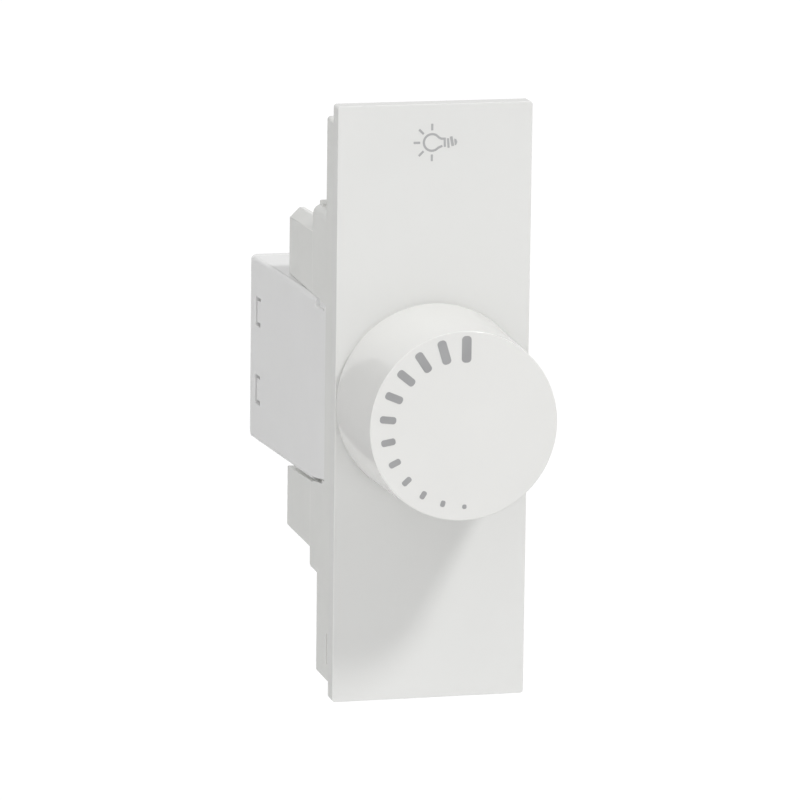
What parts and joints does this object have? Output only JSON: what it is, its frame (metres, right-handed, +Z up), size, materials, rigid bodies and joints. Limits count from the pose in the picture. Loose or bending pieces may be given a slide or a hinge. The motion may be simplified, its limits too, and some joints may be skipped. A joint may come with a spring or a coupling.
{
  "type": "rotary dimmer switch",
  "caption": "Narrow upright wall plate with a large round knob that turns and presses, in front of a deep body with screw terminals. Dims a lamp and switches it.",
  "frame": {"origin": "centre of the back of the cover plate, where the plate meets the wall frame", "axes": "+Y into the wall, so the knob faces -Y; +Z up the plate; +X to the right, seen from the front"},
  "size_m": [0.026, 0.0497, 0.0676],
  "materials": {
    "plate_white": "semi-gloss moulded plastic with softened edges",
    "knob_white": "semi-gloss moulded plastic",
    "body_white": "satin moulded plastic",
    "terminal_cover_white": "satin moulded plastic",
    "mark_grey": "pad-printed grey ink",
    "zinc_steel": "bright zinc plate",
    "cage_steel": "nickel plate",
    "shaft_aluminium": "turned",
    "bushing_zinc": "die cast",
    "spring_steel": "drawn wire",
    "contact_brass": "rolled strip",
    "tinned_pin": "tinned",
    "carbon_ink": "screen-printed carbon",
    "brown_laminate": "paper laminate",
    "ivory_nylon": "moulded nylon",
    "dark_nylon": "moulded nylon",
    "green_board": "solder resist",
    "sink_aluminium": "sheet",
    "black_resin": "moulded resin",
    "iron_powder": "coated powder core",
    "enamelled_wire": "enamelled copper, mass taken as brass",
    "capacitor_blue": "dipped resin",
    "fuse_case": "drawn case"
  },
  "bodies": {
    "housing": {"cover_plate": "plate_white", "lamp_symbol": "mark_grey", "carrier_frame": "body_white", "carrier_screws": "zinc_steel", "pot_bushing": "bushing_zinc", "lock_washer": "zinc_steel", "bushing_nut": "zinc_steel", "pot_case": "bushing_zinc", "carbon_track": "carbon_ink", "track_wafer": "brown_laminate", "pot_pins": "tinned_pin", "switch_case": "dark_nylon", "return_spring": "spring_steel", "fixed_contacts": "contact_brass", "terminal_block": "body_white", "contact_bars": "contact_brass", "upper_terminal_cover": "terminal_cover_white", "lower_terminal_cover": "terminal_cover_white", "cover_screws": "zinc_steel", "rear_housing": "body_white", "rear_cover": "body_white", "circuit_board": "green_board", "heat_sink": "sink_aluminium", "power_transistor": "black_resin", "transistor_screw": "zinc_steel", "choke_core": "iron_powder", "choke_winding": "enamelled_wire", "filter_capacitor": "capacitor_blue", "thermal_fuse": "fuse_case", "surface_parts": "black_resin"},
    "plunger": {"switch_plunger": "ivory_nylon", "moving_contact": "contact_brass"},
    "knob": {"knob": "knob_white", "knob_scale": "mark_grey", "hub_ring": "zinc_steel", "control_shaft": "shaft_aluminium"},
    "wiper": {"wiper_rotor": "ivory_nylon", "wiper_contact": "contact_brass"},
    "screw_1": {"terminal_screw_1": "zinc_steel"},
    "cage_1": {"terminal_cage_1": "cage_steel"},
    "screw_2": {"terminal_screw_2": "zinc_steel"},
    "cage_2": {"terminal_cage_2": "cage_steel"},
    "screw_3": {"terminal_screw_3": "zinc_steel"},
    "cage_3": {"terminal_cage_3": "cage_steel"},
    "screw_4": {"terminal_screw_4": "zinc_steel"},
    "cage_4": {"terminal_cage_4": "cage_steel"}
  },
  "joints": [
    {"name": "knob_press", "type": "slide", "parent": "housing", "child": "plunger", "axis": [0, 1, 0], "range_m": [0, 0.0004], "stiffness_N_per_m": 1500, "springref_m": -0.0012, "deforming": ["return_spring"]},
    {"name": "knob_turn", "type": "hinge", "parent": "plunger", "child": "knob", "pos_m": [0, 0, 0.0004], "axis": [0, 1, 0], "range_deg": [-150, 150]},
    {"name": "wiper_turn", "type": "hinge", "parent": "housing", "child": "wiper", "pos_m": [0, 0, 0.0004], "axis": [0, 1, 0], "range_deg": [-150, 150]},
    {"name": "screw_1_turn", "type": "hinge", "parent": "housing", "child": "screw_1", "pos_m": [-0.0049, 0.02, 0.01385], "axis": [0, -1, 0], "range_deg": [0, 1440]},
    {"name": "cage_1_rise", "type": "slide", "parent": "housing", "child": "cage_1", "axis": [0, 1, 0], "range_m": [0, 0.002]},
    {"name": "screw_2_turn", "type": "hinge", "parent": "housing", "child": "screw_2", "pos_m": [0.0049, 0.02, 0.01385], "axis": [0, -1, 0], "range_deg": [0, 1440]},
    {"name": "cage_2_rise", "type": "slide", "parent": "housing", "child": "cage_2", "axis": [0, 1, 0], "range_m": [0, 0.002]},
    {"name": "screw_3_turn", "type": "hinge", "parent": "housing", "child": "screw_3", "pos_m": [-0.0049, 0.02, -0.01455], "axis": [0, -1, 0], "range_deg": [0, 1440]},
    {"name": "cage_3_rise", "type": "slide", "parent": "housing", "child": "cage_3", "axis": [0, 1, 0], "range_m": [0, 0.002]},
    {"name": "screw_4_turn", "type": "hinge", "parent": "housing", "child": "screw_4", "pos_m": [0.0049, 0.02, -0.01455], "axis": [0, -1, 0], "range_deg": [0, 1440]},
    {"name": "cage_4_rise", "type": "slide", "parent": "housing", "child": "cage_4", "axis": [0, 1, 0], "range_m": [0, 0.002]}
  ],
  "couplings": [
    {"joint": "wiper_turn", "follows": "knob_turn", "ratio": 1},
    {"joint": "screw_1_turn", "follows": "cage_1_rise", "rad_per_m": 12566},
    {"joint": "screw_2_turn", "follows": "cage_2_rise", "rad_per_m": 12566},
    {"joint": "screw_3_turn", "follows": "cage_3_rise", "rad_per_m": 12566},
    {"joint": "screw_4_turn", "follows": "cage_4_rise", "rad_per_m": 12566}
  ]
}
